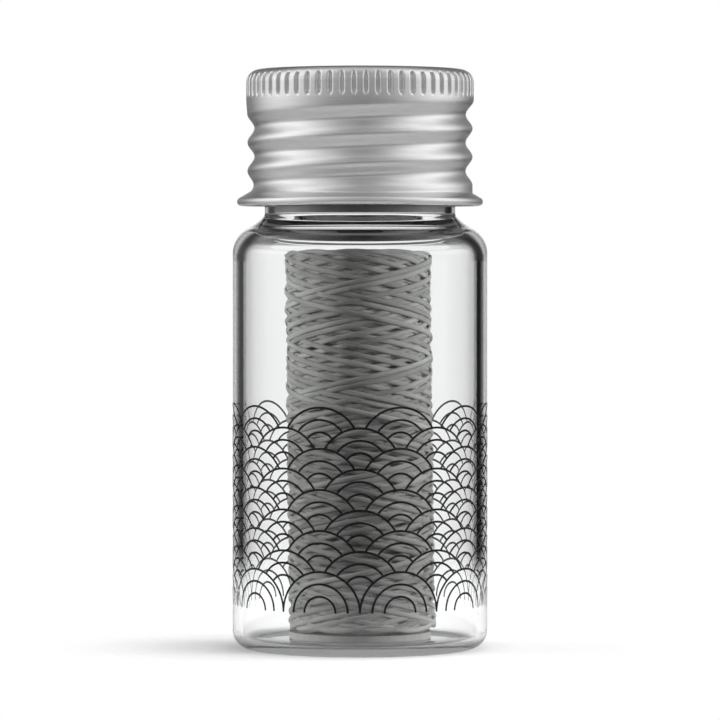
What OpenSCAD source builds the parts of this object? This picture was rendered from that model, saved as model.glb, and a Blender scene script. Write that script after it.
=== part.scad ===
// Dental floss dispenser: a screw-capped glass jar with a cross-wound spool of floss standing in it.
// Millimetres, +Z up, origin at the centre of the base. The front of the jar faces -Y.

/* [Jar] */
// Outer diameter of the glass body
jar_d = 27; // [26:0.5:32]
// Height of the glass from the base to the lip
jar_h = 58.8; // [56:0.2:80]
// Thickness of the body wall
jar_wall = 1.1; // [0.9:0.1:1.6]
// Thickness of the glass floor
floor_t = 1.1; // [0.9:0.1:2]
// Radius of the outer corner round the base
base_r = 1.9; // [1.5:0.1:3]
// Radius of the inner corner round the floor
floor_r = 0.8; // [0.6:0.1:2]
// Width of the flat ring that the jar stands on
foot_w = 0.8; // [0.5:0.1:1.5]
// Height of the hollow under the base
punt_h = 0.4; // [0.2:0.1:0.8]
// Radius of the round shoulder
shoulder_r = 2.6; // [2:0.1:3.4]

/* [Neck] */
// Outer diameter of the neck
neck_d = 20.2; // [19:0.1:21]
// Diameter of the bore through the neck
bore_d = 18.3; // [17.6:0.1:18.6]
// Height of the neck, from the foot of its curve to the lip
neck_h = 11.7; // [11:0.1:14]
// Radius of the edges of the lip
lip_r = 0.45; // [0.2:0.05:0.5]

/* [Thread] */
// Rise of the thread in one turn
pitch = 3; // [2.8:0.1:3.4]
// Height of the glass thread above the neck
thread_h = 1.2; // [0.9:0.05:1.3]
// Width of the glass thread at its root
thread_root_w = 2; // [1.4:0.1:2.2]
// Width of the glass thread at its crest
thread_crest_w = 0.7; // [0.4:0.1:0.9]
// Length of the glass thread in turns
thread_turns = 1.6; // [1.2:0.1:1.8]

/* [Cap] */
// Height of the cap
cap_h = 14.4; // [13.5:0.1:15]
// Thickness of the aluminium sheet
cap_wall = 0.25; // [0.2:0.05:0.3]
// Depth of the groove rolled into the skirt
groove_d = 0.74; // [0.6:0.02:0.8]
// Distance from the top of the cap down to the groove on the right-hand side
groove_drop = 4.7; // [4.4:0.1:5]
// Length of the rolled groove at full depth, in turns
groove_turns = 2.7; // [2.2:0.05:2.8]
// Radius of the edge round the top
crown_r = 1.1; // [0.6:0.1:1.2]
// Number of grip flutes
flutes = 60; // [40:1:80]
// Depth of a grip flute
flute_d = 0.35; // [0.2:0.05:0.45]
// Length of the fluted band, with the edge above it
flute_band = 2.95; // [2.4:0.05:3.2]
// How far the fluted band stands proud of the skirt
flute_rise = 0.13; // [0.1:0.01:0.25]
// Radius of the curled edge at the foot of the skirt
curl_r = 0.45; // [0.35:0.05:0.55]
// How far the curled edge stands out from the skirt
curl_reach = 1.1; // [0.95:0.05:1.4]
// Height of the flare from the curled edge up to the skirt
flare_h = 0.45; // [0.3:0.05:0.6]

/* [Liner] */
// Thickness of the foam liner in the cap
liner_t = 1.1; // [0.8:0.1:1.5]
// Gap between the liner's edge and the cap
liner_edge_gap = 0.15; // [0.1:0.05:0.4]

/* [Floss guide] */
// Thickness of the flange that rests on the lip
flange_t = 0.95; // [0.7:0.05:1.3]
// Depth that the plug reaches into the neck
plug_depth = 12.75; // [12:0.05:13]
// Least height between the spool and the plug
head_room = 1.5; // [1:0.5:3]
// Thickness of the plug's wall
plug_wall = 1.1; // [0.9:0.1:1.4]
// Depth of the well that holds the cutter, below the flange's top
well_depth = 3.55; // [3.3:0.05:4]
// Thickness of the well's floor
well_floor = 1; // [0.8:0.1:1.4]
// Radius of a sealing bead round the plug
bead_r = 0.3; // [0.2:0.05:0.4]
// Radius of a peg that holds the cutter
peg_r = 0.7; // [0.5:0.05:0.8]
// Radius of a peg's flattened head
peg_head_r = 1.1; // [1:0.05:1.3]
// Height of a peg's flattened head
peg_head_h = 0.4; // [0.3:0.05:0.5]
// Distance from the axis to each peg
peg_reach = 4.6; // [4.2:0.1:5]

/* [Eyelet] */
// Radius of the hole that the floss comes through
eyelet_hole_r = 0.75; // [0.5:0.05:0.9]
// Outer radius of the eyelet's barrel
eyelet_r = 1.7; // [1.5:0.1:1.9]
// Height of the eyelet above the well's floor
eyelet_h = 1.5; // [1:0.1:1.8]
// Radius of the flange that holds the eyelet under the floor
eyelet_flange_r = 2.4; // [2.1:0.1:3]
// Thickness of that flange
eyelet_flange_t = 0.4; // [0.3:0.05:0.6]

/* [Cutter] */
// Thickness of the steel plate
plate_t = 0.35; // [0.25:0.05:0.45]
// Height of the blade above the plate
blade_h = 2; // [1.5:0.1:2.2]
// Width of the blade at its foot
blade_w = 3.4; // [2.6:0.1:4]
// Distance from the axis to the blade
blade_reach = 3.3; // [2.8:0.1:3.6]
// Width of the slit that the floss snaps into
slit_w = 0.4; // [0.3:0.05:0.6]
// Depth of the slit
slit_d = 1.2; // [0.8:0.1:1.4]
// Length of the window that the blade is bent out of
window_l = 2.2; // [1.8:0.1:2.4]

/* [Spool] */
// Outer diameter of the wound floss
spool_d = 15.7; // [14.5:0.1:16.2]
// Height of the wound floss
spool_h = 40.8; // [34:0.2:43]
// Diameter of the floss
floss_d = 0.5; // [0.4:0.05:0.55]
// Radial step between strands that cross
cross_step = 1; // [1:0.05:1.2]
// Turns in which the floss runs up the spool and down again
pair_turns = 8; // [6:1:8]
// Runs from end to end in the outer layer
runs = 6; // [4:2:6]
// Angle from each end of the floss to the place where its first or last run would turn back
end_angle = 32; // [30:1:60]
// Radius of the rounded ends of the package
package_edge_r = 1; // [0.5:0.1:1.5]
// Outer diameter of the paper core
core_d = 6.4; // [5:0.2:8]
// Wall of the paper core
core_wall = 0.6; // [0.4:0.1:1]
// How far the core stands out below the floss
core_foot = 0.75; // [0.3:0.05:1.2]
// Diameter of the core's disc, which the floss stands on
disc_d = 15; // [12:0.5:15.5]

/* [Clearances] */
// Gap at each flat seat
seat_gap = 0.05; // [0.03:0.01:0.08]
// Radial gap where one piece slides or turns in another
fit_gap = 0.05; // [0.03:0.01:0.08]
// Radial gap between the glass thread and the skirt of the cap
thread_gap = 0.36; // [0.3:0.02:0.5]
// Gap between the cutter and the pieces that it goes round
cutter_gap = 0.12; // [0.08:0.02:0.3]

/* [Hidden] */
$fn = 96;

// Cuts run past a face by this much, and pieces of one solid run into each other by it
over = 0.1;
// The collars that join the skirt to the rest of the cap are thicker than the sheet by this much
collar_lap = 0.04;
// How far the root of the glass thread is sunk in the neck
thread_bite = 0.3;
// Steps in each round stretch of an outline
arc_steps = 8;
// Points closer than this are one point
same_point = 1e-6;

// Turn of the shoulder's curve before it swings up into the neck
shoulder_turn = 68;
jar_r = jar_d / 2;
neck_r = neck_d / 2;
bore_r = bore_d / 2;
inner_r = jar_r - jar_wall;
inner_shoulder_r = max(shoulder_r - jar_wall, lip_r);
neck_z = jar_h - neck_h;

// Heights in the stack on the lip, from the flange up to the top of the cap
flange_z = jar_h + flange_t;
liner_z = flange_z + seat_gap;
cap_inner_z = liner_z + liner_t + seat_gap;
cap_z = cap_inner_z + cap_wall;

// Radii of the cap, from the glass thread outwards
thread_crest_r = neck_r + thread_h;
skirt_in_r = thread_crest_r + thread_gap;
skirt_r = skirt_in_r + cap_wall;
fluted_r = skirt_r + flute_rise;
flute_root_r = fluted_r - flute_d;
crown_in_r = flute_root_r - cap_wall;
flute_foot_z = cap_z - flute_band;
skirt_top_z = flute_foot_z - cap_wall;
rim_z = cap_z - cap_h;
curl_top_z = rim_z + 2 * curl_r;
skirt_foot_z = curl_top_z + flare_h;
groove_z = cap_z - groove_drop;

// Turns along the groove, counted from the right-hand side at the height groove_z
groove_end = 0.1;
groove_start = groove_end - groove_turns;
// Turns in which the groove fades out at each end
fade_turns = 0.36;
// Turns from the groove's start to the start of the glass thread, and the thread's taper at each end
thread_lead = 0.2;
taper_turns = 0.1;
thread_start = groove_start + thread_lead;
skirt_steps = 60;
rows_per_pitch = 8;
thread_steps = 48;

// Heights of the core's foot and of the floss's ends
core_z = floor_t + seat_gap;
spool_z = core_z + core_foot;
spool_top_z = spool_z + spool_h;

// The plug
plug_r = bore_r - fit_gap;
well_r = plug_r - plug_wall;
well_z = flange_z - well_depth;
well_under_z = well_z - well_floor;
plug_foot_z = max(jar_h - plug_depth, spool_top_z + head_room);
bead_count = 2;
bead_step = (jar_h - plug_foot_z) / (bead_count + 1);

// The cutter lies on the floor of the well
plate_z = well_z + seat_gap;
plate_r = well_r - cutter_gap;
plate_top_z = plate_z + plate_t;

// The spool
spool_r = spool_d / 2;
core_r = core_d / 2;
outer_run_r = spool_r - floss_d / 2;
inner_run_r = outer_run_r - cross_step;
package_r = inner_run_r - floss_d / 2 - fit_gap;
// Each pair of runs falls short of whole turns, so that all the pairs lie evenly round the spool
run_turns = (pair_turns * runs / 2 - 1) / runs;
floss_sides = 6;
rings_per_turn = 24;
// Half the turn in which the floss changes from one run's radius to the next, in degrees
change_angle = 30;

function arc(x, z, r, from, to) =
    [for (i = [0 : arc_steps])
        let (a = from + (to - from) * i / arc_steps) [x + r * cos(a), z + r * sin(a)]];

function smooth(x) = let (t = min(max(x, 0), 1)) t * t * (3 - 2 * t);

function distinct(points) =
    [for (i = [0 : len(points) - 1]) if (i == 0 || norm(points[i] - points[i - 1]) > same_point) points[i]];

// Both curves of the shoulder, from the body (radius wide) up to the neck (radius narrow).
// The second one is as large as it takes to meet the neck, and ends level with neck_z.
function swing_r(wide, round_r, narrow) =
    (wide - round_r + round_r * cos(shoulder_turn) - narrow) / (1 - cos(shoulder_turn));

function shoulder(wide, round_r, narrow) =
    let (r = swing_r(wide, round_r, narrow),
         z = neck_z - (r + round_r) * sin(shoulder_turn))
    concat(arc(wide - round_r, z, round_r, 0, shoulder_turn),
           arc(narrow + r, neck_z, r, 180 + shoulder_turn, 180));

function reversed(points) = [for (i = [len(points) - 1 : -1 : 0]) points[i]];

module jar_outline() {
    foot_r = jar_r - base_r - foot_w;
    punt = [for (i = [0 : arc_steps]) let (s = i / arc_steps) [foot_r * s, punt_h * (1 - s * s)]];
    polygon(distinct(concat(
        punt,
        arc(jar_r - base_r, base_r, base_r, -90, 0),
        shoulder(jar_r, shoulder_r, neck_r),
        arc(neck_r - lip_r, jar_h - lip_r, lip_r, 0, 90),
        arc(bore_r + lip_r, jar_h - lip_r, lip_r, 90, 180),
        reversed(shoulder(inner_r, inner_shoulder_r, bore_r)),
        arc(inner_r - floor_r, floor_t + floor_r, floor_r, 0, -90),
        [[0, floor_t]])));
}

// Faces of a tube whose rings of points follow each other, each ring going round anticlockwise
// as seen by someone who looks along the tube
function tube_faces(rings, sides) = concat(
    [[for (k = [sides - 1 : -1 : 0]) k]],
    [[for (k = [0 : sides - 1]) (rings - 1) * sides + k]],
    [for (i = [0 : rings - 2], k = [0 : sides - 1])
        let (a = i * sides + k, b = i * sides + (k + 1) % sides)
        each [[a, b, a + sides], [b, b + sides, a + sides]]]);

// The thread lies half a pitch above the groove, and tapers into the neck at both ends
module glass_thread() {
    steps = ceil(thread_turns * thread_steps);
    root_r = neck_r - thread_bite;
    rings = [for (i = [0 : steps])
        let (turn = thread_start + thread_turns * i / steps,
             along = thread_turns * i / steps,
             full = smooth(min(along, thread_turns - along) / taper_turns),
             crest = root_r + thread_bite / 2 + (thread_bite / 2 + thread_h) * full,
             z = groove_z + pitch * (turn + 0.5),
             dir = [cos(360 * turn), sin(360 * turn)])
        [for (p = [[root_r, -thread_root_w / 2], [crest, -thread_crest_w / 2],
                   [crest, thread_crest_w / 2], [root_r, thread_root_w / 2]])
            [dir.x * p[0], dir.y * p[0], z + p[1]]]];
    polyhedron([for (ring = rings) each ring], tube_faces(steps + 1, 4), convexity = 6);
}

module glass_jar() {
    color([0.85, 0.9, 0.9, 0.35])
        union() {
            rotate_extrude() jar_outline();
            glass_thread();
        }
}

// Share of the groove's depth at a place along it, in turns
function groove_share(turn) =
    smooth((turn - groove_start) / fade_turns + 0.5) * smooth((groove_end - turn) / fade_turns + 1);

// Outer radius of the skirt at an angle and a height. The foot stays round for the curled edge.
function skirt_outer(angle, z) =
    let (u = (z - groove_z) / pitch - angle / 360,
         depth = groove_d * (1 + cos(360 * u)) / 2 * smooth((z - skirt_foot_z) / cap_wall))
    skirt_r - depth * groove_share(round(u) + angle / 360);

module skirt() {
    top = skirt_top_z + over;
    foot = skirt_foot_z - over;
    rows = ceil((top - foot) / pitch * rows_per_pitch);
    function ring(z, inset) =
        [for (k = [0 : skirt_steps - 1])
            let (a = 360 * k / skirt_steps, r = skirt_outer(a, z) - inset) [r * cos(a), r * sin(a), z]];
    levels = [for (i = [0 : rows]) foot + (top - foot) * i / rows];
    points = concat([for (z = levels) each ring(z, 0)], [for (z = levels) each ring(z, cap_wall)]);
    n = skirt_steps;
    inner = len(levels) * n;
    walls = [for (i = [0 : rows - 1], k = [0 : n - 1])
        let (a = i * n + k, b = i * n + (k + 1) % n)
        each [[a, a + n, b], [b, a + n, b + n],
              [inner + a, inner + b, inner + a + n], [inner + b, inner + b + n, inner + a + n]]];
    ends = [for (k = [0 : n - 1])
        let (a = k, b = (k + 1) % n, c = rows * n)
        each [[a, b, inner + a], [b, inner + b, inner + a],
              [c + a, inner + c + a, c + b], [c + b, inner + c + a, inner + c + b]]];
    polyhedron(points, concat(walls, ends), convexity = 6);
}

// The fluted band and the top of the cap
module crown() {
    land_share = 0.56;
    root_share = 0.2;
    step = 360 / flutes;
    difference() {
        intersection() {
            translate([0, 0, skirt_top_z])
                linear_extrude(cap_z - skirt_top_z + over)
                    polygon([for (i = [0 : flutes - 1])
                        let (a = i * step, land = step * land_share / 2, root = step * root_share / 2)
                        each [(fluted_r + over) * [cos(a - land), sin(a - land)],
                              (fluted_r + over) * [cos(a + land), sin(a + land)],
                              flute_root_r * [cos(a + step / 2 - root), sin(a + step / 2 - root)],
                              flute_root_r * [cos(a + step / 2 + root), sin(a + step / 2 + root)]]]);
            rotate_extrude()
                polygon(concat([[0, skirt_top_z], [skirt_r + collar_lap, skirt_top_z],
                                [fluted_r, flute_foot_z]],
                               arc(fluted_r - crown_r, cap_z - crown_r, crown_r, 0, 90),
                               [[0, cap_z]]));
        }
        translate([0, 0, skirt_top_z - over])
            cylinder(r = crown_in_r, h = cap_inner_z - skirt_top_z + over);
    }
}

// A plain collar between the fluted band and the skirt
module collar() {
    translate([0, 0, skirt_top_z - cap_wall])
        difference() {
            cylinder(r = skirt_r + collar_lap, h = 2 * cap_wall);
            translate([0, 0, -over])
                cylinder(r = skirt_in_r - 2 * collar_lap, h = 2 * cap_wall + 2 * over);
        }
}

// The foot of the skirt is flared out and its edge is curled under
module curl() {
    out_r = skirt_r + curl_reach;
    in_r = skirt_in_r - 2 * collar_lap;
    mid_z = rim_z + curl_r;
    rotate_extrude()
        polygon(concat(
            [[in_r, skirt_foot_z], [in_r, curl_top_z - cap_wall]],
            arc(out_r - curl_r, mid_z, curl_r - cap_wall, 90, -90),
            [[out_r - 2 * curl_r, rim_z + cap_wall], [out_r - 2 * curl_r, rim_z]],
            arc(out_r - curl_r, mid_z, curl_r, -90, 62),
            [[skirt_r + collar_lap, skirt_foot_z]]));
}

module cap_shell() {
    color([0.76, 0.76, 0.77])
        union() {
            crown();
            collar();
            skirt();
            curl();
        }
}

module cap_liner() {
    color([0.93, 0.93, 0.91])
        translate([0, 0, liner_z])
            cylinder(r = crown_in_r - liner_edge_gap, h = liner_t);
}

module peg_places() {
    for (side = [-1, 1])
        translate([0, side * peg_reach, 0])
            children();
}

// The plug that closes the neck, with a well on top for the eyelet and the cutter
module floss_guide() {
    color([0.57, 0.57, 0.56])
        union() {
            difference() {
                union() {
                    translate([0, 0, jar_h + seat_gap])
                        cylinder(r = neck_r, h = flange_t - seat_gap);
                    translate([0, 0, plug_foot_z])
                        cylinder(r = plug_r - bead_r / 2, h = flange_z - plug_foot_z);
                    for (i = [1 : bead_count])
                        translate([0, 0, plug_foot_z + bead_step * i])
                            rotate_extrude()
                                translate([plug_r - bead_r, 0])
                                    circle(r = bead_r, $fn = 24);
                }
                translate([0, 0, well_z])
                    cylinder(r = well_r, h = well_depth + over);
                translate([0, 0, plug_foot_z - over])
                    cylinder(r = well_r, h = well_under_z - plug_foot_z + over);
                translate([0, 0, well_under_z - over])
                    cylinder(r = eyelet_r + fit_gap, h = well_floor + 2 * over);
            }
            peg_places() {
                translate([0, 0, well_z - over])
                    cylinder(r = peg_r, h = plate_top_z - well_z + seat_gap + over);
                translate([0, 0, plate_top_z + seat_gap])
                    cylinder(r = peg_head_r, h = peg_head_h);
            }
        }
}

// The steel eyelet, with round edges at both ends of its hole
module floss_eyelet() {
    flange_top_z = well_under_z - seat_gap;
    foot_z = flange_top_z - eyelet_flange_t;
    top_z = well_z + eyelet_h;
    mouth_r = (eyelet_r - eyelet_hole_r) / 2;
    edge_r = eyelet_flange_t / 2;
    color([0.74, 0.75, 0.76])
        rotate_extrude()
            polygon(concat(
                [[eyelet_flange_r, foot_z], [eyelet_flange_r, flange_top_z], [eyelet_r, flange_top_z]],
                arc(eyelet_hole_r + mouth_r, top_z - mouth_r, mouth_r, 0, 180),
                arc(eyelet_hole_r + edge_r, foot_z + edge_r, edge_r, 180, 270)));
}

// A stamped steel disc with one blade bent up beside the eyelet
module cutter_plate() {
    color([0.7, 0.71, 0.72])
        union() {
            translate([0, 0, plate_z])
                difference() {
                    cylinder(r = plate_r, h = plate_t);
                    translate([0, 0, -over]) {
                        cylinder(r = eyelet_r + cutter_gap, h = plate_t + 2 * over);
                        peg_places()
                            cylinder(r = peg_r + cutter_gap, h = plate_t + 2 * over);
                    }
                    translate([blade_reach + plate_t, -blade_w / 2, -over])
                        cube([window_l, blade_w, plate_t + 2 * over]);
                }
            blade();
        }
}

// The blade is a tooth with a slit down its middle
module blade() {
    tip_share = 0.45;
    tip = blade_w * tip_share / 2;
    translate([blade_reach, 0, plate_z])
        rotate([90, 0, 90])
            linear_extrude(plate_t)
                polygon([[-blade_w / 2, 0], [blade_w / 2, 0], [blade_w / 2, plate_t],
                         [tip, plate_t + blade_h], [slit_w / 2, plate_t + blade_h - slit_w],
                         [slit_w / 2, plate_t + blade_h - slit_d],
                         [-slit_w / 2, plate_t + blade_h - slit_d],
                         [-slit_w / 2, plate_t + blade_h - slit_w], [-tip, plate_t + blade_h],
                         [-blade_w / 2, plate_t]]);
}

// The core has a disc at its foot that keeps the floss off the glass
module core_tube() {
    color([0.6, 0.59, 0.56])
        translate([0, 0, core_z])
            difference() {
                union() {
                    cylinder(r = core_r, h = core_foot + spool_h);
                    cylinder(r = disc_d / 2, h = core_foot - seat_gap);
                }
                translate([0, 0, -over])
                    cylinder(r = core_r - core_wall, h = core_foot + spool_h + 2 * over);
            }
}

// The inner layers of floss, which the outer layer covers
module floss_package() {
    hole_r = core_r + fit_gap;
    e = package_edge_r;
    color([0.4, 0.4, 0.39])
        translate([0, 0, spool_z])
            rotate_extrude()
                polygon(concat([[hole_r, 0]],
                               arc(package_r - e, e, e, -90, 0),
                               arc(package_r - e, spool_h - e, e, 0, 90),
                               [[hole_r, spool_h]]));
}

// The outer layer: one floss that runs from end to end and back, over the strands below it
function run_length() = 360 * run_turns;

// Degrees to the nearest end of the run, negative past the middle of the change
function to_end(angle) =
    let (part = angle / run_length(), inside = part - floor(part)) min(inside, 1 - inside) * run_length();

// Height share of the run, 0 at the bottom and 1 at the top, eased where the floss turns back
function run_share(angle) =
    let (part = angle / run_length(), k = floor(part), inside = part - k,
         ease = change_angle / run_length() / 2,
         near = min(inside, 1 - inside),
         eased = near < ease ? (near * near / ease + ease) / 2 : near,
         up = inside < 0.5 ? eased : 1 - eased)
    k % 2 == 0 ? up : 1 - up;

// Upward runs lie inside and downward runs outside, and the change is centred on the end
function run_radius(angle) =
    let (part = angle / run_length(), k = floor(part), inside = part - k,
         past = to_end(angle) / change_angle,
         here = k % 2, other = 1 - here,
         half = smooth(0.5 + past / 2),
         outer = here * half + other * (1 - half))
    inner_run_r + cross_step * outer;

function floss_point(angle) =
    let (end = floss_d, r = run_radius(angle))
    [r * cos(angle), r * sin(angle), spool_z + end + (spool_h - 2 * end) * run_share(angle)];

module floss_winding() {
    total = run_length() * runs - 2 * end_angle;
    steps = ceil(total / 360 * rings_per_turn);
    path = [for (i = [0 : steps]) floss_point(end_angle + total * i / steps)];
    rings = [for (i = [0 : steps])
        let (p = path[i],
             t = path[min(i + 1, steps)] - path[max(i - 1, 0)],
             ahead = t / norm(t),
             out = [p.x, p.y, 0] / norm([p.x, p.y]),
             side = cross(ahead, out) / norm(cross(ahead, out)),
             up = cross(side, ahead))
        [for (k = [0 : floss_sides - 1])
            let (a = 360 * (k + 0.5) / floss_sides)
            p + floss_d / 2 * (cos(a) * side + sin(a) * up)]];
    // The gap is measured on the rings' centres and on the middles between them
    fine = [for (i = [0 : steps - 1]) each [path[i], (path[i] + path[i + 1]) / 2]];
    skip = rings_per_turn;
    last = len(fine) - 1;
    least = min([for (i = [0 : last - skip])
                 min([for (j = [i + skip : last]) norm(fine[i] - fine[j])])]);
    echo(least_gap_in_the_winding_mm = least - floss_d);
    color([0.45, 0.45, 0.44])
        polyhedron([for (ring = rings) each ring], tube_faces(steps + 1, floss_sides), convexity = 12);
}

glass_jar();
cap_shell();
cap_liner();
floss_guide();
floss_eyelet();
cutter_plate();
core_tube();
floss_package();
floss_winding();
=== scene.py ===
import math

import bmesh
import bpy
import numpy as np
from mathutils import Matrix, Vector


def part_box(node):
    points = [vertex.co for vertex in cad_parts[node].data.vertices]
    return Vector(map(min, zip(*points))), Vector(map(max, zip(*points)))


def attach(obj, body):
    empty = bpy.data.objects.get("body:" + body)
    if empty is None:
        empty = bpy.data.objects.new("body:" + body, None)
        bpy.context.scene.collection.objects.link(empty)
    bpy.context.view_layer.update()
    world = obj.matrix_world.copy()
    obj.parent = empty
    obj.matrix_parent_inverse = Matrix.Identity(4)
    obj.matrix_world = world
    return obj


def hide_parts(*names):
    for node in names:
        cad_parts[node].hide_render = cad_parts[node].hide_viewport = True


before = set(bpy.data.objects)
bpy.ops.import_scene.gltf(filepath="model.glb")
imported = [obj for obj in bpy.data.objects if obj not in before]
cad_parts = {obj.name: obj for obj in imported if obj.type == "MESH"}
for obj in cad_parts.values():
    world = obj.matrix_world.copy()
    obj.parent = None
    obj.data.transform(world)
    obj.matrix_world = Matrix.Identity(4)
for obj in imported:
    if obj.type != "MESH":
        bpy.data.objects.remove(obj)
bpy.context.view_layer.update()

MM = 0.001

# Sizes read from the frame
JAR_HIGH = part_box("glass_jar")[1]
CAP_LOW, CAP_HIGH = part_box("cap_shell")
WINDING_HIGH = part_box("floss_winding")[1]
PACKAGE_LOW, PACKAGE_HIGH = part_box("floss_package")
JAR_R = JAR_HIGH.x
JAR_H = JAR_HIGH.z
CAP_TOP = CAP_HIGH.z
RIM_Z = CAP_LOW.z
CURL_OUT_R = CAP_HIGH.x
SPOOL_R = WINDING_HIGH.x
SPOOL_LOW = PACKAGE_LOW.z
SPOOL_HIGH = PACKAGE_HIGH.z

# The glass, as the part has it, with its body a hair inside the printed band
INK_RISE = 0.012 * MM
GLASS_R = JAR_R - INK_RISE
WALL = 1.1 * MM
FLOOR_T = 1.1 * MM
BASE_R = 1.9 * MM
FLOOR_R = 0.7 * MM
FOOT_W = 0.8 * MM
PUNT_H = 0.4 * MM
NECK_R = 10.1 * MM
BORE_R = 9.15 * MM
# Radius, height of the centre and turn of each curve of the shoulder, outside and inside
BROW = (3.0 * MM, 41.75 * MM, 62)
ROOT = (0.7 * MM, 46.05 * MM, 42)
INNER_BROW = (2.1 * MM, 41.56 * MM, 61)
INNER_ROOT = (0.4 * MM, 44.85 * MM, 60)
SHOULDER_PULL = 0.9
LIP_R = 0.45 * MM
JAR_SEGMENTS = 240
# Light that is trapped in the foot and the shoulder: past a number of surfaces, and this far from
# the middle of the glass, a ray ends in a glowing grey that goes by its height. This glow is
# painted light that stands in for the light that the glass carries there
TRAPPED_AFTER = 3.5
GLASS_MIDDLE_Z = 21.4 * MM
GLASS_ENDS = 19.6 * MM
GREYS_HIGH = 50 * MM
PAINTED_TRAPPED_LIGHT = ((0.1, 0.30), (0.5, 0.14), (0.88, 0.14), (0.94, 0.03))

# The threads
PITCH = 3.0 * MM
THREAD_H = 1.2 * MM
THREAD_ROOT_W = 2.0 * MM
THREAD_CREST_W = 0.7 * MM
GROOVE_Z = CAP_TOP - 4.7 * MM
GROOVE_START = -2.6
GROOVE_END = 0.1
GROOVE_FADE = 0.36
GROOVE_D = 0.74 * MM
THREAD_START = -2.4
THREAD_TURNS = 1.6
THREAD_TAPER = 0.1

# The cap
SHEET = 0.25 * MM
SKIRT_R = 11.91 * MM
FLUTED_R = 12.04 * MM
CROWN_R = 1.4 * MM
FLUTES = 60
FLUTE_D = 0.35 * MM
FLUTE_LOW = CAP_TOP - 2.95 * MM
FLUTE_HIGH = CAP_TOP - 0.6 * MM
# The height of the flutes' round ends, and the share of the wave between them that isn't pressed in
FLUTE_END_LOW = 0.55 * MM
FLUTE_END_HIGH = 0.5 * MM
FLUTE_LAND = 0.62
# The heights over which the band eases into the skirt, and the groove starts at top and foot
SKIRT_EASE = 2.4 * MM
GROOVE_EASE_HIGH = 0.8 * MM
GROOVE_EASE_LOW = 0.25 * MM
CURL_R = 0.45 * MM
CURL_TURN = 62
CURL_TOP = RIM_Z + 2 * CURL_R
SKIRT_FOOT = CURL_TOP + 0.45 * MM
STEP_H = 0.35 * MM
ROOF_R = 0.4 * MM
TOP_RING_R = 3 * MM
ROOF_RING_R = 5 * MM
HAIR = 0.001 * MM
NEARLY = 0.01 * MM
CAP_SEGMENTS = 720

# The floss
CORE_R = 3.2 * MM
STRAND_W = 0.60 * MM
STRAND_T = 0.28 * MM
STRAND_SIDES = 8
RINGS_PER_TURN = 48
RUN_TURNS = 3.98
RUNS_LAID = 130
RUNS_KEPT = 56
PAIR_SHIFT = 0.05
SEED = 7
# The share of a run in which the floss turns back. The room that it leaves at the end is a random
# number up to END_ROOM, to the power of 1.5, in mm
TURN_BACK = 0.012
END_ROOM = 0.7
# How far a run wanders from its path, at how many points, and over how many steps that starts
WANDER = 0.035 * MM
WANDER_POINTS = 12
WANDER_EASE = 200
# The grid that the runs are laid on. A run lies on the bumps below it by the firm share, and else
# on their mean height, smoothed over some cells. Later runs lie on a share of its crown
CELL = 0.07 * MM
CELLS_ROUND = 720
SMOOTHING = 15
FIRM_SHARE = 0.35
NEST = 0.8
# The finished winding: its depths are measured from a level that a percentage of the surface stays
# below, smoothed over some rows. A share of them is kept, and the whole strand lies a little deeper
LEVEL_PERCENT = 92
LEVELLING = 41
PRESSED = 0.7
LAID_IN = 0.05 * MM
END_ROUND = 0.9 * MM
LEAN = 0.012
# The inner layers. They stay within the radius that a percentage of the strand lies below, and have
# rings on their end faces
LOWEST_PERCENT = 20
CORE_GAP = 0.05 * MM
RING_W = 0.42 * MM
RING_DIP = 0.35 * MM
INNER_SEGMENTS = 120

# The printed band
INK_W = 0.22 * MM
SCALLOPS_ROUND = 10
SCALLOP_ROWS = 9
SCALLOP_LOW = 4.7 * MM
SCALLOP_ARCS = (1.0, 0.7, 0.4)
SCALLOP_CLEAR = 0.999

# The photograph's view
CAMERA_DISTANCE = 460 * MM
CAMERA_Z = 41.9 * MM
AIM_Z = 30.5 * MM
PHOTO_WIDTH_PX = 720
FOCAL_PX = 4344
SENSOR_W = 36

# The stage: half the floor's width, and its tones when seen, mirrored and lit by bounces
FLOOR_REACH = 170 * MM
FLOOR_SEEN = 0.84
FLOOR_MIRRORED = 0.58
FLOOR_BOUNCED = 0.22
# Between two distances from the axis it glows from one strength to another, and fades out. The weak
# glow near the axis is a painted shadow under and beside the jar
FLOOR_GLOW_WITH_PAINTED_SHADOW = (10 * MM, 17 * MM, 0.05, 0.25)
FLOOR_NEAR_FADE = (14 * MM, 34 * MM, 0, 1)
FLOOR_FAR_FADE = (70 * MM, 160 * MM, 0, 1)
LAMP_AIM = (0, 0, 30 * MM)


def smooth(x):
    """0 below 0, 1 above 1 and a smooth step between."""
    t = np.clip(x, 0, 1)
    return t * t * (3 - 2 * t)


def arc(x, z, r, start, end, steps=12):
    """Points along an arc in the plane of an outline, angles in degrees."""
    return [(x + r * math.cos(math.radians(a)), z + r * math.sin(math.radians(a)))
            for a in np.linspace(start, end, steps + 1)]


def line(start, end, steps):
    """Points along a straight stretch of an outline, without its ends."""
    return [(start[0] + (end[0] - start[0]) * i / steps, start[1] + (end[1] - start[1]) * i / steps)
            for i in range(1, steps)]


def eased(start, start_slope, end, end_slope, steps):
    """Points between two ends of an outline that leave and arrive along the given directions."""
    pull = math.dist(start, end) * SHOULDER_PULL
    points = []
    for t in np.linspace(0, 1, steps + 1)[1:-1]:
        a, b = 2 * t ** 3 - 3 * t ** 2 + 1, t ** 3 - 2 * t ** 2 + t
        points.append(tuple(a * start[k] + b * pull * start_slope[k] + (1 - a) * end[k]
                            + (t ** 3 - t ** 2) * pull * end_slope[k] for k in (0, 1)))
    return points


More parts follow.
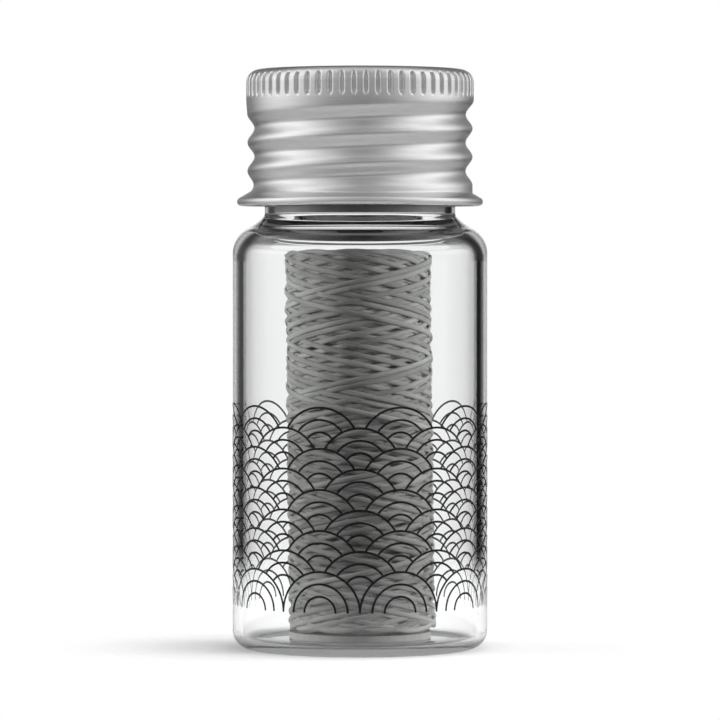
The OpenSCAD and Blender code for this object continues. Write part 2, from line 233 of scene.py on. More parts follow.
def mesh_piece(name, points, faces, material, smooth_faces=True):
    """A new object from points and faces, with one material."""
    mesh = bpy.data.meshes.new(name)
    mesh.from_pydata([tuple(p) for p in points], [], [tuple(f) for f in faces])
    solid = bmesh.new()
    solid.from_mesh(mesh)
    bmesh.ops.recalc_face_normals(solid, faces=solid.faces)
    solid.to_mesh(mesh)
    solid.free()
    mesh.polygons.foreach_set("use_smooth", [smooth_faces] * len(mesh.polygons))
    mesh.materials.append(material)
    obj = bpy.data.objects.new(name, mesh)
    bpy.context.scene.collection.objects.link(obj)
    return obj


def ring_faces(rows, segments, joined):
    """Quads between rows of points that go round; joined also closes the last row to the first."""
    faces = []
    for i in range(rows if joined else rows - 1):
        a, b = i * segments, (i + 1) % rows * segments
        faces += [(a + k, a + (k + 1) % segments, b + (k + 1) % segments, b + k)
                  for k in range(segments)]
    return faces


def turned(name, outline, segments, material, swell=None, joined=False):
    """A solid turned round Z. Its outline starts and ends on the axis, or is closed if joined.
    swell gives what is added to the radius, from the outline's row, radius, height and angle."""
    rows = np.array(outline if joined else outline[1:-1])
    angle = 2 * np.pi * np.arange(segments) / segments
    r = np.repeat(rows[:, :1], segments, 1)
    z = np.repeat(rows[:, 1:], segments, 1)
    if swell is not None:
        r = r + swell(np.arange(len(rows))[:, None], r, z, angle[None, :])
    points = np.stack((r * np.cos(angle), r * np.sin(angle), z), -1).reshape(-1, 3)
    faces = ring_faces(len(rows), segments, joined)
    if not joined:
        first, last = len(points), len(points) + 1
        points = np.vstack((points, (0, 0, outline[0][1]), (0, 0, outline[-1][1])))
        end = (len(rows) - 1) * segments
        faces += [(first, (k + 1) % segments, k) for k in range(segments)]
        faces += [(last, end + k, end + (k + 1) % segments) for k in range(segments)]
    return mesh_piece(name, points, faces, material)


# Materials

def new_material(name):
    """An empty node material and its Principled shader."""
    material = bpy.data.materials.new(name)
    material.use_nodes = True
    return material, material.node_tree.nodes["Principled BSDF"]


def node(owner, kind, **values):
    """A new node of a material or the world, with its inputs and settings set by name."""
    made = owner.node_tree.nodes.new("ShaderNode" + kind)
    for key, value in values.items():
        if key in made.inputs:
            made.inputs[key].default_value = value
        else:
            setattr(made, key, value)
    return made


def wire(owner, start, end):
    owner.node_tree.links.new(start, end)


def math_node(owner, operation, *values):
    """A Math node on numbers or on the outputs of other nodes."""
    made = node(owner, "Math", operation=operation)
    for i, value in enumerate(values):
        if isinstance(value, (int, float)):
            made.inputs[i].default_value = value
        else:
            wire(owner, value, made.inputs[i])
    return made.outputs[0]


def mapped(owner, value, low, high, to_low, to_high, **values):
    """A value that runs between two levels while its source runs from low to high."""
    made = node(owner, "MapRange", **values)
    limits = (("From Min", low), ("From Max", high), ("To Min", to_low), ("To Max", to_high))
    for key, number in limits:
        made.inputs[key].default_value = number
    wire(owner, value, made.inputs["Value"])
    return made.outputs["Result"]


def grey(level):
    return level, level, level


def tinted(owner, value, stops, interpolation="LINEAR"):
    """A colour ramp with a colour at each stop."""
    made = node(owner, "ValToRGB")
    made.color_ramp.interpolation = interpolation
    elements = made.color_ramp.elements
    for i, (position, color) in enumerate(stops):
        element = elements[i] if i < 2 else elements.new(position)
        element.position = position
        element.color = (*color, 1)
    wire(owner, value, made.inputs["Fac"])
    return made.outputs["Color"]


def chosen(owner, share, first, second):
    """The first colour, or the second where the share is 1. Both are outputs or levels of grey."""
    made = node(owner, "Mix", data_type="RGBA")
    wire(owner, share, made.inputs[0])
    for i, value in ((6, first), (7, second)):
        if isinstance(value, (int, float)):
            made.inputs[i].default_value = (*grey(value), 1)
        else:
            wire(owner, value, made.inputs[i])
    return made.outputs[2]


def mixed(owner, share, first, second):
    """A shader that goes from the first to the second with the share."""
    made = node(owner, "MixShader")
    for i, source in enumerate((share, first, second)):
        wire(owner, source, made.inputs[i])
    return made.outputs[0]


def bumped(material, shader, height, strength, distance):
    """Roughens the shader's surface by a height."""
    bump = node(material, "Bump", Strength=strength, Distance=distance)
    wire(material, height, bump.inputs["Height"])
    wire(material, bump.outputs[0], shader.inputs["Normal"])


def object_place(material):
    return node(material, "TexCoord").outputs["Object"]


def show(material, surface):
    wire(material, surface, material.node_tree.nodes["Material Output"].inputs["Surface"])


def turned_coordinates(material, round_scale, along_scale):
    """Coordinates that are stretched round the Z axis, as brush lines on a turned piece are."""
    place = object_place(material)
    split = node(material, "SeparateXYZ")
    flat = node(material, "VectorMath", operation="MULTIPLY")
    flat.inputs[1].default_value = (1, 1, 0)
    length = node(material, "VectorMath", operation="LENGTH")
    unit = node(material, "VectorMath", operation="NORMALIZE")
    scaled = node(material, "VectorMath", operation="SCALE", Scale=round_scale)
    up = node(material, "CombineXYZ")
    total = node(material, "VectorMath", operation="ADD")
    wire(material, place, split.inputs[0])
    wire(material, place, flat.inputs[0])
    wire(material, flat.outputs[0], length.inputs[0])
    wire(material, flat.outputs[0], unit.inputs[0])
    wire(material, unit.outputs[0], scaled.inputs[0])
    along = math_node(material, "ADD", length.outputs["Value"], split.outputs["Z"])
    wire(material, math_node(material, "MULTIPLY", along, along_scale), up.inputs["Z"])
    wire(material, scaled.outputs[0], total.inputs[0])
    wire(material, up.outputs[0], total.inputs[1])
    return total.outputs[0]


def clear_glass():
    """Clear flint glass that lets lamps through to what it holds. Trapped rays end in a painted
    glow of grey.
    """
    material, shader = new_material("clear_glass")
    shader.inputs["Base Color"].default_value = (0.985, 0.992, 0.988, 1)
    shader.inputs["Roughness"].default_value = 0.0
    shader.inputs["IOR"].default_value = 1.5
    shader.inputs["Transmission Weight"].default_value = 1.0
    shade = node(material, "BsdfTransparent", Color=(0.95, 0.96, 0.955, 1))
    path = node(material, "LightPath")
    glass = mixed(material, path.outputs["Is Shadow Ray"], shader.outputs[0], shade.outputs[0])
    split = node(material, "SeparateXYZ")
    wire(material, object_place(material), split.inputs[0])
    height = split.outputs["Z"]
    away = math_node(material, "ABSOLUTE", math_node(material, "SUBTRACT", height, GLASS_MIDDLE_Z))
    deep = math_node(material, "GREATER_THAN", path.outputs["Ray Depth"], TRAPPED_AFTER)
    unlit = math_node(material, "LESS_THAN", path.outputs["Diffuse Depth"], 0.5)
    at_ends = math_node(material, "GREATER_THAN", away, GLASS_ENDS)
    share = math_node(material, "MULTIPLY", math_node(material, "MULTIPLY", deep, unlit), at_ends)
    # Painted light: an emission grey that goes by height, in place of the light trapped in the
    # glass
    painted_trapped_light = node(material, "Emission")
    height_share = mapped(material, height, 0, GREYS_HIGH, 0, 1)
    tone = tinted(material, height_share, [(z, grey(level)) for z, level in PAINTED_TRAPPED_LIGHT])
    wire(material, tone, painted_trapped_light.inputs["Color"])
    show(material, mixed(material, share, glass, painted_trapped_light.outputs[0]))
    return material


def satin_aluminium():
    """Rolled aluminium with a satin lacquer and fine brush lines round it."""
    material, shader = new_material("satin_aluminium")
    shader.inputs["Metallic"].default_value = 1.0
    shader.inputs["Anisotropic"].default_value = 0.35
    fine = node(material, "TexNoise", Scale=1.0, Detail=4.0, Roughness=0.6)
    wire(material, turned_coordinates(material, 3.0, 9000.0), fine.inputs["Vector"])
    broad = node(material, "TexNoise", Scale=260.0, Detail=3.0, Roughness=0.55)
    wire(material, object_place(material), broad.inputs["Vector"])
    tint = tinted(material, fine.outputs["Fac"], ((0.3, grey(0.74)), (0.7, grey(0.84))))
    wire(material, tint, shader.inputs["Base Color"])
    satin = mapped(material, broad.outputs["Fac"], 0, 1, 0.36, 0.44)
    wire(material, satin, shader.inputs["Roughness"])
    bumped(material, shader, fine.outputs["Fac"], 0.25, 0.01 * MM)
    tangent = node(material, "Tangent", direction_type="RADIAL", axis="Z")
    wire(material, tangent.outputs[0], shader.inputs["Tangent"])
    return material


def waxed_floss():
    """Charcoal-grey waxed floss: fibres along the strand, and a shade that drifts along it."""
    material, shader = new_material("waxed_floss")
    shader.inputs["Roughness"].default_value = 0.45
    shader.inputs["Specular IOR Level"].default_value = 0.3
    place = node(material, "UVMap", uv_map="strand")
    stretch = node(material, "Mapping")
    stretch.inputs["Scale"].default_value = (900, 30, 1)
    wire(material, place.outputs[0], stretch.inputs["Vector"])
    fibre = node(material, "TexNoise", Scale=1.0, Detail=3.0, Roughness=0.7)
    wire(material, stretch.outputs[0], fibre.inputs["Vector"])
    drift = node(material, "TexNoise", Scale=140.0, Detail=2.0)
    wire(material, place.outputs[0], drift.inputs["Vector"])
    both = math_node(material, "ADD", fibre.outputs["Fac"], drift.outputs["Fac"])
    tint = tinted(material, math_node(material, "MULTIPLY", both, 0.5),
                  ((0.35, (0.17, 0.17, 0.166)), (0.65, (0.42, 0.419, 0.41))))
    wire(material, tint, shader.inputs["Base Color"])
    bumped(material, shader, fibre.outputs["Fac"], 0.6, 0.05 * MM)
    return material


def speckled(name, dark, light, scale, roughness, rise):
    """A matt material whose shade and surface vary in fine speckles."""
    material, shader = new_material(name)
    shader.inputs["Roughness"].default_value = roughness
    noise = node(material, "TexNoise", Scale=scale, Detail=5.0, Roughness=0.6)
    wire(material, object_place(material), noise.inputs["Vector"])
    tint = tinted(material, noise.outputs["Fac"], ((0.3, dark), (0.7, light)))
    wire(material, tint, shader.inputs["Base Color"])
    bumped(material, shader, noise.outputs["Fac"], 0.4, rise)
    return material


def brushed_steel():
    """Stamped stainless steel with straight brush lines."""
    material, shader = new_material("brushed_steel")
    shader.inputs["Metallic"].default_value = 1.0
    shader.inputs["Base Color"].default_value = (0.62, 0.62, 0.63, 1)
    stretch = node(material, "Mapping")
    stretch.inputs["Scale"].default_value = (300, 9000, 9000)
    wire(material, object_place(material), stretch.inputs["Vector"])
    lines = node(material, "TexNoise", Scale=1.0, Detail=3.0)
    wire(material, stretch.outputs[0], lines.inputs["Vector"])
    rough = mapped(material, lines.outputs["Fac"], 0, 1, 0.18, 0.36)
    wire(material, rough, shader.inputs["Roughness"])
    bumped(material, shader, lines.outputs["Fac"], 0.2, 0.005 * MM)
    return material


def black_ink():
    """Screen-printed ink, slightly uneven."""
    material, shader = new_material("black_ink")
    noise = node(material, "TexNoise", Scale=2500.0, Detail=3.0)
    wire(material, object_place(material), noise.inputs["Vector"])
    tint = tinted(material, noise.outputs["Fac"], ((0.0, grey(0.004)), (1.0, grey(0.016))))
    wire(material, tint, shader.inputs["Base Color"])
    shader.inputs["Roughness"].default_value = 0.45
    shader.inputs["Specular IOR Level"].default_value = 0.2
    return material


# The glass jar

def shoulder(wide, brow, narrow, root):
    """The shoulder from the body up into the neck: a round brow, a flank and a tight root."""
    low = arc(wide - brow[0], brow[1], brow[0], 0, brow[2], 20)
    high = arc(narrow + root[0], root[1], root[0], 180 + root[2], 180, 10)
    slope = [(-math.sin(math.radians(a)), math.cos(math.radians(a))) for a in (brow[2], root[2])]
    return low + eased(low[-1], slope[0], high[0], slope[1], 14) + high


def thread_rise(z, angle):
    """How far the glass thread stands out of the neck at each height and angle."""
    rise = np.zeros(np.broadcast(z, angle).shape)
    for whole in range(-4, 2):
        turn = angle / (2 * np.pi) + whole
        along = turn - THREAD_START
        off = np.abs(z - GROOVE_Z - PITCH * (turn + 0.5))
        ends = smooth(np.minimum(along, THREAD_TURNS - along) / THREAD_TAPER)
        flank = smooth((THREAD_ROOT_W / 2 - off) / ((THREAD_ROOT_W - THREAD_CREST_W) / 2))
        rise = np.maximum(rise, THREAD_H * flank * ends)
    return rise


def glass_jar(material):
    """The jar with its hollow foot, its shoulder and the thread on its neck."""
    foot_r = GLASS_R - BASE_R - FOOT_W
    outer = [(foot_r * s, PUNT_H * (1 - s * s)) for s in np.linspace(0, 1, 13)]
    outer += arc(GLASS_R - BASE_R, BASE_R, BASE_R, -90, 0, 24)
    brow = shoulder(GLASS_R, BROW, NECK_R, ROOT)
    outer += line(outer[-1], brow[0], 8) + brow
    lip = arc(NECK_R - LIP_R, JAR_H - LIP_R, LIP_R, 0, 90)
    first_neck = len(outer) - 1
    outer += line(outer[-1], lip[0], 96)
    last_neck = len(outer) - 1
    inner_brow = shoulder(GLASS_R - WALL, INNER_BROW, BORE_R, INNER_ROOT)[::-1]
    floor = arc(GLASS_R - WALL - FLOOR_R, FLOOR_T + FLOOR_R, FLOOR_R, 0, -90, 24)
    inner = lip + arc(BORE_R + LIP_R, JAR_H - LIP_R, LIP_R, 90, 180)
    inner += line(inner[-1], inner_brow[0], 6) + inner_brow
    inner += line(inner[-1], floor[0], 8) + floor + line(floor[-1], (0, FLOOR_T), 6)
    outline = outer + inner + [(0, FLOOR_T)]

    def swell(row, r, z, angle):
        on_neck = (row >= first_neck - 1) & (row <= last_neck - 1)
        return np.where(on_neck, thread_rise(z, angle), 0)

    jar = turned("glass_jar_clear", outline, JAR_SEGMENTS, material, swell)
    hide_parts("glass_jar")
    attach(jar, "jar")


# The aluminium cap

def groove_share(turn):
    """Share of the rolled groove's depth at a place along it, in turns."""
    return (smooth((turn - GROOVE_START) / GROOVE_FADE + 0.5)
            * smooth((GROOVE_END - turn) / GROOVE_FADE + 1))


def groove_depth(z, angle):
    """How far the rolled thread is pressed in at each height and angle."""
    u = (z - GROOVE_Z) / PITCH - angle / (2 * np.pi)
    return (GROOVE_D * (1 + np.cos(2 * np.pi * u)) / 2
            * groove_share(np.round(u) + angle / (2 * np.pi)))


def flute_depth(z, angle):
    """How far the grip flutes are pressed in, with their round ends."""
    across = (1 - np.cos(FLUTES * angle)) / 2
    groove = smooth((across - FLUTE_LAND) / (1 - FLUTE_LAND))
    low_end = np.clip((z - FLUTE_LOW) / FLUTE_END_LOW, 0, 1)
    high_end = np.clip((FLUTE_HIGH - z) / FLUTE_END_HIGH, 0, 1)
    reach = np.sqrt(1 - (1 - low_end) ** 2) * np.sqrt(1 - (1 - high_end) ** 2)
    return FLUTE_D * np.clip(groove - (1 - reach), 0, 1)


def cap_shell(material):
    """The cap, one sheet thick, with its flutes, its rolled groove and its curled edge."""
    mid_z = RIM_Z + CURL_R
    curl_x = CURL_OUT_R - CURL_R
    band = [(FLUTED_R - HAIR, z) for z in np.linspace(CAP_TOP - CROWN_R, FLUTE_LOW, 12)[1:]]
    skirt_top = FLUTE_LOW - STEP_H
    skirt = [(SKIRT_R + (FLUTED_R - SKIRT_R) * smooth(1 - (FLUTE_LOW - z) / SKIRT_EASE), z)
             for z in np.linspace(FLUTE_LOW, SKIRT_FOOT, 52)[1:]]
    outer = [(0, CAP_TOP)]
    outer += [(r, CAP_TOP) for r in np.linspace(TOP_RING_R, FLUTED_R - CROWN_R, 4)[:-1]]
    outer += arc(FLUTED_R - CROWN_R, CAP_TOP - CROWN_R, CROWN_R, 90, 0, 14) + band
    first_skirt = len(outer)
    outer += skirt
    last_skirt = len(outer)
    curl = arc(curl_x, mid_z, CURL_R, CURL_TURN, -90, 10)
    outer += line(outer[-1], curl[0], 4) + curl
    tail = [(CURL_OUT_R - 2 * CURL_R, RIM_Z), (CURL_OUT_R - 2 * CURL_R, RIM_Z + SHEET)]
    hollow = arc(curl_x, mid_z, CURL_R - SHEET, -90, 90, 6)
    skirt_in = [(SKIRT_R - SHEET, CURL_TOP - SHEET)]
    skirt_in += [(SKIRT_R - SHEET, z) for z in np.linspace(SKIRT_FOOT, skirt_top, 18)]
    crown_in = FLUTED_R - FLUTE_D - SHEET
    roof = CAP_TOP - SHEET
    inner = tail + hollow + skirt_in + [(crown_in, skirt_top + SHEET)]
    inner += arc(crown_in - ROOF_R, roof - ROOF_R, ROOF_R, 0, 90, 6) + [(ROOF_RING_R, roof)]
    outline = outer + inner + [(0, roof)]
    turn_back = len(outer) + len(tail)

    def swell(row, r, z, angle):
        low = smooth((z - SKIRT_FOOT) / GROOVE_EASE_LOW)
        high = smooth((FLUTE_LOW - z) / GROOVE_EASE_HIGH)
        pressed = groove_depth(z, angle) * low * high
        on_skirt = (row >= first_skirt - 1) & (row < last_skirt - 1)
        in_skirt = np.abs(r - (SKIRT_R - SHEET)) < NEARLY
        outside = row < turn_back
        fluted = flute_depth(z, angle) * outside * (r > FLUTED_R - CROWN_R) * (z > FLUTE_LOW)
        return -fluted - np.where(on_skirt | in_skirt, pressed, 0)

    cap = turned("screw_cap", outline, CAP_SEGMENTS, material, swell)
    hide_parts("cap_shell")
    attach(cap, "cap")


# The floss

def run_heights(steps, low, high, ease):
    """Heights along one run, easing over a share of it at both ends where the floss turns back."""
    share = np.arange(steps) / steps
    near = np.minimum(share, 1 - share)
    eased_in = np.where(near < ease, (near * near / ease + ease) / 2, near)
    up = np.where(share < 0.5, eased_in, 1 - eased_in)
    return low + (high - low) * (up - ease / 2) / (1 - ease)


def wound_radius(z):
    """Radius of the finished winding at each height, with its round ends."""
    near = np.clip(np.minimum(z - SPOOL_LOW, SPOOL_HIGH - z) / END_ROUND, 0, 1)
    return SPOOL_R - END_ROUND * (1 - np.sqrt(1 - (1 - near) ** 2))


def lay_runs():
    """Lays one floss run by run over what lies there already, and returns its centre line as arrays
    of angle, height and radius. Later runs cross on top of earlier ones."""
    draw = np.random.default_rng(SEED)
    rows = int((SPOOL_HIGH - SPOOL_LOW) / CELL)
    surface = np.zeros((rows, CELLS_ROUND))
    half = int(STRAND_W / 2 / CELL)
    across = np.arange(-half, half + 1)
    crown = STRAND_T / 2 * np.sqrt(1 - (across / (half + 0.5)) ** 2)
    kernel = np.hanning(SMOOTHING) / np.hanning(SMOOTHING).sum()
    angle, height, rise = [], [], []
    column = 0
    ends = [SPOOL_LOW + STRAND_W / 2]
    for run in range(RUNS_LAID):
        steps = int(round(CELLS_ROUND * (RUN_TURNS + draw.normal(-PAIR_SHIFT / 2, PAIR_SHIFT / 7))))
        margin = STRAND_W / 2 + draw.uniform(0, END_ROOM) ** 1.5 * MM
        ends.append(SPOOL_LOW + margin if run % 2 else SPOOL_HIGH - margin)
        z = run_heights(steps, ends[-2], ends[-1], TURN_BACK)
        step = np.arange(steps)
        wander = draw.normal(0, WANDER, WANDER_POINTS)
        wander = np.interp(step, np.linspace(0, steps, WANDER_POINTS), wander)
        z = z + wander * smooth(np.minimum(step, steps - step) / WANDER_EASE)
        columns = (column + step) % CELLS_ROUND
        row = np.clip(np.round((z - SPOOL_LOW) / CELL).astype(int)[:, None] + across, 0, rows - 1)
        below = surface[row, columns[:, None]]
        firm = (below + crown).max(1)
        soft = below.mean(1) + STRAND_T / 2
        bed = np.pad(FIRM_SHARE * firm + (1 - FIRM_SHARE) * soft, SMOOTHING // 2, mode="edge")
        centre = np.convolve(bed, kernel, mode="valid")
        for start in range(0, steps, CELLS_ROUND):
            part = slice(start, min(start + CELLS_ROUND, steps))
            spot = (row[part], columns[part, None])
            surface[spot] = np.maximum(surface[spot], centre[part, None] + crown * NEST)
        angle.append(2 * np.pi * (column + step) / CELLS_ROUND)
        height.append(z)
        rise.append(centre)
        column += steps
    angle, height, rise = (np.concatenate(x[-RUNS_KEPT:]) for x in (angle, height, rise))
    level = np.pad(np.percentile(surface, LEVEL_PERCENT, axis=1), LEVELLING // 2, mode="edge")
    level = np.convolve(level, np.full(LEVELLING, 1 / LEVELLING), "valid")
    sunk = np.interp(height, SPOOL_LOW + CELL * np.arange(rows), level) - STRAND_T / 2 - rise
    radius = wound_radius(height) - STRAND_T / 2 - LAID_IN - PRESSED * sunk
    return angle, height, np.minimum(radius, SPOOL_R - STRAND_T / 2)


def strand_tube(name, centre, outward, material):
    """One unbroken flat strand along the centre line, with coordinates along and round it."""
    ahead = np.gradient(centre, axis=0)
    ahead /= np.linalg.norm(ahead, axis=1)[:, None]
    side = np.cross(ahead, outward)
    side /= np.linalg.norm(side, axis=1)[:, None]
    up = np.cross(side, ahead)
    a = 2 * np.pi * (np.arange(STRAND_SIDES) + 0.5) / STRAND_SIDES
    points = (centre[:, None, :] + STRAND_W / 2 * np.cos(a)[None, :, None] * side[:, None, :]
              + STRAND_T / 2 * np.sin(a)[None, :, None] * up[:, None, :]).reshape(-1, 3)
    rings, sides = len(centre), STRAND_SIDES
    faces = ring_faces(rings, sides, False)
    faces += [tuple(range(sides)), tuple((rings - 1) * sides + k for k in reversed(range(sides)))]
    obj = mesh_piece(name, points, faces, material)
    length = np.concatenate(([0], np.cumsum(np.linalg.norm(np.diff(centre, axis=0), axis=1))))
    uv = obj.data.uv_layers.new(name="strand")
    corner = np.empty(len(obj.data.loops), np.int32)
    obj.data.loops.foreach_get("vertex_index", corner)
    v = (corner % sides) / sides
    u = length[corner // sides]
    uv.data.foreach_set("uv", np.stack((v * MM, u), -1).ravel())
    return obj


def floss_winding(material):
    """The outer layers as one strand. Returns a radius that the inner layers stay within."""
    angle, height, radius = (x[::CELLS_ROUND // RINGS_PER_TURN] for x in lay_runs())
    lean = LEAN * ((SPOOL_LOW + SPOOL_HIGH) / 2 - height)
    centre = np.stack((radius * np.cos(angle) + lean, radius * np.sin(angle), height), -1)
    outward = np.stack((np.cos(angle), np.sin(angle), np.zeros_like(angle)), -1)
    winding = strand_tube("floss_strand", centre, outward, material)
    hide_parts("floss_winding")
    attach(winding, "spool")
    return np.percentile(radius, LOWEST_PERCENT) - LEAN * (SPOOL_HIGH - SPOOL_LOW) / 2


def floss_body(material, outer_r):
    """The inner layers, whose end faces show the floss turning back in ring after ring."""
    inner_r = CORE_R + CORE_GAP
    rings = int((outer_r - inner_r) / RING_W)
    ends = []
    for i in range(rings):
        middle = inner_r + (i + 0.5) * (outer_r - inner_r) / rings
        dip = RING_DIP * (i / rings) ** 2
        ends += arc(middle, -dip - RING_W / 2, RING_W / 2, 165, 15, 6)
    outline = [(r, SPOOL_HIGH + z) for r, z in ends]
    outline += [(r, SPOOL_LOW - z) for r, z in reversed(ends)]
    body = turned("floss_inner_layers", outline[::-1], INNER_SEGMENTS, material, joined=True)
    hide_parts("floss_package")
    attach(body, "spool")


# The printed band

def scallop_arcs():
    """Rows of overlapping scallops with arcs inside them, without what the rows in front cover."""
    radius = np.pi * JAR_R / SCALLOPS_ROUND
    row_step = radius / 2
    in_front = ((radius, -row_step), (-radius, -row_step), (0, -2 * row_step))
    for row in range(SCALLOP_ROWS):
        for column in range(SCALLOPS_ROUND):
            x = (2 * column + row % 2) * radius
            z = SCALLOP_LOW + row * row_step
            for share in SCALLOP_ARCS:
                points = []
                for px, pz in arc(0, 0, share * radius, 0, 180, 48):
                    covered = any(math.hypot(px - cx, pz - cz) < radius * SCALLOP_CLEAR
                                  for cx, cz in in_front)
                    if (covered and row > 0) or pz + z < SCALLOP_LOW:
                        if len(points) > 2:
                            yield points
                        points = []
                    else:
                        points.append((x + px, z + pz))
                if len(points) > 2:
                    yield points


def printed_band(material):
    """The print's lines, laid round the glass."""
    inside, outside = JAR_R - 2 * INK_RISE, JAR_R
    points, faces = [], []
    for path in scallop_arcs():
        path = np.array(path)
        ahead = np.gradient(path, axis=0)
        ahead /= np.linalg.norm(ahead, axis=1)[:, None]
        side = np.stack((-ahead[:, 1], ahead[:, 0]), -1) * INK_W / 2
        first = len(points)
        for (x, z), (dx, dz) in zip(path, side):
            for sx, r in ((1, inside), (1, outside), (-1, outside), (-1, inside)):
                t = (x + sx * dx) / JAR_R
                points.append((r * math.cos(t), r * math.sin(t), z + sx * dz))
        rings = len(path)
        faces += [tuple(first + k for k in f) for f in ring_faces(rings, 4, False)]
        faces += [(first, first + 1, first + 2, first + 3)]
        end = first + 4 * (rings - 1)
        faces += [(end + 3, end + 2, end + 1, end)]
    band = mesh_piece("printed_band", points, faces, material, smooth_faces=False)
    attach(band, "jar")


# Stage, lamps and camera

def stage_floor():
    """A pale floor that keeps shadows and fades into the white background. It is darker where it is
    mirrored, and darker still where it only lights other things."""
    material, shader = new_material("floor_paper")
    shader.inputs["Roughness"].default_value = 0.9
    shader.inputs["Specular IOR Level"].default_value = 0.0
    path = node(material, "LightPath")
    camera = path.outputs["Is Camera Ray"]
    seen = math_node(material, "MAXIMUM", camera, path.outputs["Is Transmission Ray"])
    unlit = math_node(material, "LESS_THAN", path.outputs["Diffuse Depth"], 0.5)
    straight = math_node(material, "MULTIPLY", seen, unlit)
    unseen = chosen(material, unlit, FLOOR_BOUNCED, FLOOR_MIRRORED)
    wire(material, chosen(material, straight, unseen, FLOOR_SEEN), shader.inputs["Base Color"])
    reach = node(material, "VectorMath", operation="LENGTH")
    wire(material, object_place(material), reach.inputs[0])

    def rising(limits):
        return mapped(material, reach.outputs["Value"], *limits, interpolation_type="SMOOTHSTEP")

    shader.inputs["Emission Color"].default_value = (1, 1, 1, 1)
    # The glow is weaker near the axis: a painted shadow under and beside the jar
    glow_with_painted_shadow = math_node(material, "MULTIPLY", straight, rising(FLOOR_GLOW_WITH_PAINTED_SHADOW))
    wire(material, glow_with_painted_shadow, shader.inputs["Emission Strength"])
    near_fade = math_node(material, "MULTIPLY", rising(FLOOR_NEAR_FADE), camera)
    fade = math_node(material, "MAXIMUM", near_fade, rising(FLOOR_FAR_FADE))
    clear = node(material, "BsdfTransparent")
    show(material, mixed(material, fade, shader.outputs[0], clear.outputs[0]))
    corners = [(-FLOOR_REACH, -FLOOR_REACH, 0), (FLOOR_REACH, -FLOOR_REACH, 0),
               (FLOOR_REACH, FLOOR_REACH, 0), (-FLOOR_REACH, FLOOR_REACH, 0)]
    mesh_piece("floor", corners, [(0, 1, 2, 3)], material)


# The studio, part by part: a strength, the levels round the horizon from behind (0) to the camera's
# side (1), and the levels from straight down (0) to straight up (1)
WINDOW_RISE = [(0.36, 0.0), (0.44, 1.0), (0.56, 1.0), (0.62, 0.0)]
MIRRORED_STUDIO = (
    # The ceiling
    (0.35, [(0.0, 1.0), (0.75, 1.0), (0.93, 0.1)], [(0.74, 0.0), (0.84, 1.0), (1.0, 1.0)]),
    # The white wall behind
    (1, [(0.0, 0.9), (0.04, 0.85), (0.10, 0.0)], WINDOW_RISE),
    # The softboxes at both sides
    (1.8,
     [(0.25, 0.02), (0.37, 0.5), (0.45, 0.75), (0.54, 0.8), (0.66, 0.52), (0.80, 0.2), (1.0, 0.1)],
     [(0.20, 0.15), (0.44, 0.5), (0.54, 1.0), (0.74, 1.0), (0.90, 0.5)]),
    # The room on the camera's side
    (0.33,
     [(0.66, 0.0), (0.84, 0.9), (1.0, 1.0)],
     [(0.26, 0.3), (0.40, 0.3), (0.46, 0.0), (0.49, 0.0), (0.54, 0.8), (0.60, 0.5), (0.72, 0.1)]))
REFRACTED_STUDIO = (
    # The white wall behind
    (1,
     [(0.0, 0.97), (0.06, 0.92), (0.10, 0.70), (0.125, 0.27), (0.15, 0.06), (0.18, 0.03)],
     WINDOW_RISE),
    # The ceiling
    (0.2, [(0.0, 1.0), (1.0, 1.0)], [(0.62, 0.0), (0.7, 1.0), (0.86, 1.0), (1.0, 0.6)]),
    # The floor further out
    (0.5,
     [(0.0, 1.0), (0.3, 0.7), (0.6, 0.5), (1.0, 0.5)],
     [(0.0, 1.0), (0.42, 1.0), (0.46, 0.0), (1.0, 0.0)]),
    # The softboxes at both sides
    (1,
     [(0.40, 0.03), (0.47, 0.5), (0.60, 0.5), (0.68, 0.03)],
     [(0.3, 0.2), (0.46, 1.0), (0.66, 1.0), (0.8, 0.1)]))
# Between two places from the left (-1) to the right (1), both change from one factor to another
MIRRORED_SIDEWAYS = (-1, 1, 1.05, 1.03)
REFRACTED_SIDEWAYS = (0.34, 0.46, 1, 0.1)
AMBIENT = 0.075


def studio_world():
    """White to the camera. Mirrors and glass see a studio; the rest gets a faint ambient light."""
    world = bpy.data.worlds.new("studio")
    bpy.context.scene.world = world
    world.use_nodes = True
    back = world.node_tree.nodes["Background"]
    split = node(world, "SeparateXYZ")
    wire(world, node(world, "TexCoord").outputs["Generated"], split.inputs[0])
    sideways = split.outputs["X"]
    angle = math_node(world, "ARCTAN2", sideways, split.outputs["Y"])
    round_share = math_node(world, "DIVIDE", math_node(world, "ABSOLUTE", angle), math.pi)
    rise = math_node(world, "ARCSINE", split.outputs["Z"])
    rise_share = math_node(world, "MULTIPLY_ADD", rise, 1 / math.pi, 0.5)

    def ramp(value, stops):
        return tinted(world, value, [(place, grey(level)) for place, level in stops], "EASE")

    def studio(parts, limits):
        total = 0
        for gain, around, upward in parts:
            part = math_node(world, "MULTIPLY", ramp(round_share, around), ramp(rise_share, upward))
            total = math_node(world, "ADD", math_node(world, "MULTIPLY", part, gain), total)
        return math_node(world, "MULTIPLY", total, mapped(world, sideways, *limits))

    mirrored = studio(MIRRORED_STUDIO, MIRRORED_SIDEWAYS)
    refracted = studio(REFRACTED_STUDIO, REFRACTED_SIDEWAYS)
    path = node(world, "LightPath")
    unlit = math_node(world, "LESS_THAN", path.outputs["Diffuse Depth"], 0.5)
    seen_through = math_node(world, "MULTIPLY", path.outputs["Is Transmission Ray"], unlit)
    color = chosen(world, path.outputs["Is Glossy Ray"], AMBIENT, mirrored)
    color = chosen(world, seen_through, color, refracted)
    color = chosen(world, path.outputs["Is Camera Ray"], color, 1)
    wire(world, color, back.inputs["Color"])
    back.inputs["Strength"].default_value = 1.0


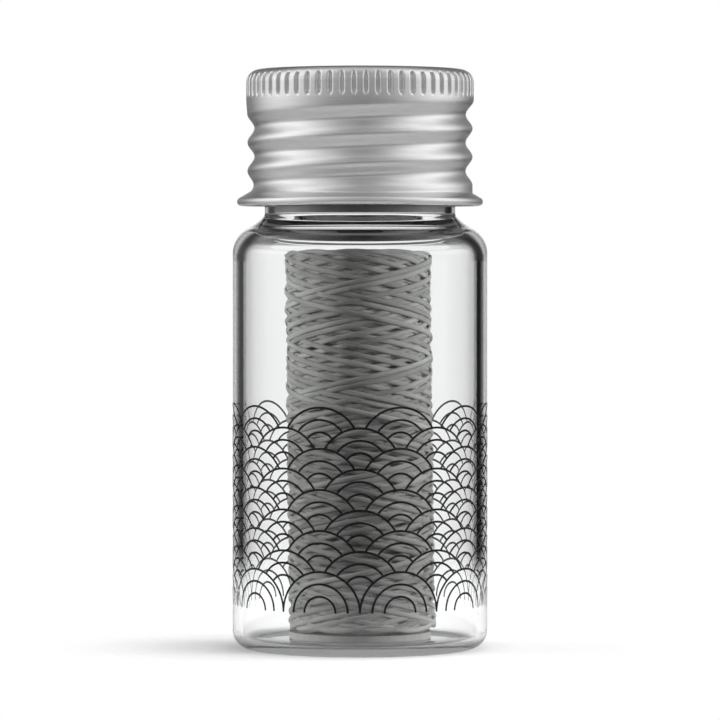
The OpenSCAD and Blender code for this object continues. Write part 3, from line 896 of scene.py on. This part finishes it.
def softbox(name, place, size, watts):
    """A rectangular lamp. It isn't mirrored, because the world holds its reflection."""
    lamp = bpy.data.lights.new(name, "AREA")
    lamp.shape = "RECTANGLE"
    lamp.size, lamp.size_y = size
    lamp.energy = watts
    obj = bpy.data.objects.new(name, lamp)
    bpy.context.scene.collection.objects.link(obj)
    obj.location = place
    obj.rotation_euler = (obj.location - Vector(LAMP_AIM)).to_track_quat("Z", "Y").to_euler()
    obj.visible_camera = False
    obj.visible_glossy = False
    obj.visible_transmission = False


def photo_camera():
    """The photograph's camera, almost level with the cap's foot."""
    camera = bpy.data.cameras.new("photo_camera")
    camera.sensor_width = SENSOR_W
    camera.lens = FOCAL_PX / PHOTO_WIDTH_PX * SENSOR_W
    camera.clip_start = 0.01
    obj = bpy.data.objects.new("photo_camera", camera)
    bpy.context.scene.collection.objects.link(obj)
    obj.location = (0, -CAMERA_DISTANCE, CAMERA_Z)
    obj.rotation_euler = (math.pi / 2 - math.atan2(CAMERA_Z - AIM_Z, CAMERA_DISTANCE), 0, 0)
    bpy.context.scene.camera = obj


photo_camera()

glass = clear_glass()
aluminium = satin_aluminium()
floss = waxed_floss()
steel = brushed_steel()
foam = speckled("liner_foam", (0.72, 0.72, 0.70), (0.86, 0.86, 0.84), 3000, 0.8, 0.02 * MM)
silicone = speckled("guide_silicone", (0.26, 0.26, 0.255), (0.31, 0.31, 0.305), 900, 0.5, 0.01 * MM)
paper = speckled("core_paper", (0.29, 0.285, 0.28), (0.37, 0.365, 0.355), 1500, 0.85, 0.03 * MM)

for name, material in (("cap_liner", foam), ("floss_guide", silicone), ("floss_eyelet", steel),
                       ("cutter_plate", steel), ("core_tube", paper)):
    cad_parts[name].data.materials.clear()
    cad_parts[name].data.materials.append(material)

glass_jar(glass)
cap_shell(aluminium)
lowest_r = floss_winding(floss)
floss_body(floss, lowest_r)
printed_band(black_ink())

stage_floor()
studio_world()
softbox("left_softbox", (-0.8, 0.03, 0.17), (0.26, 0.3), 6.8)
softbox("right_softbox", (0.8, -0.03, 0.17), (0.26, 0.3), 7.5)
softbox("high_softbox", (0.15, -0.02, 0.80), (0.4, 0.4), 3.7)

bpy.context.scene.view_settings.view_transform = "Standard"
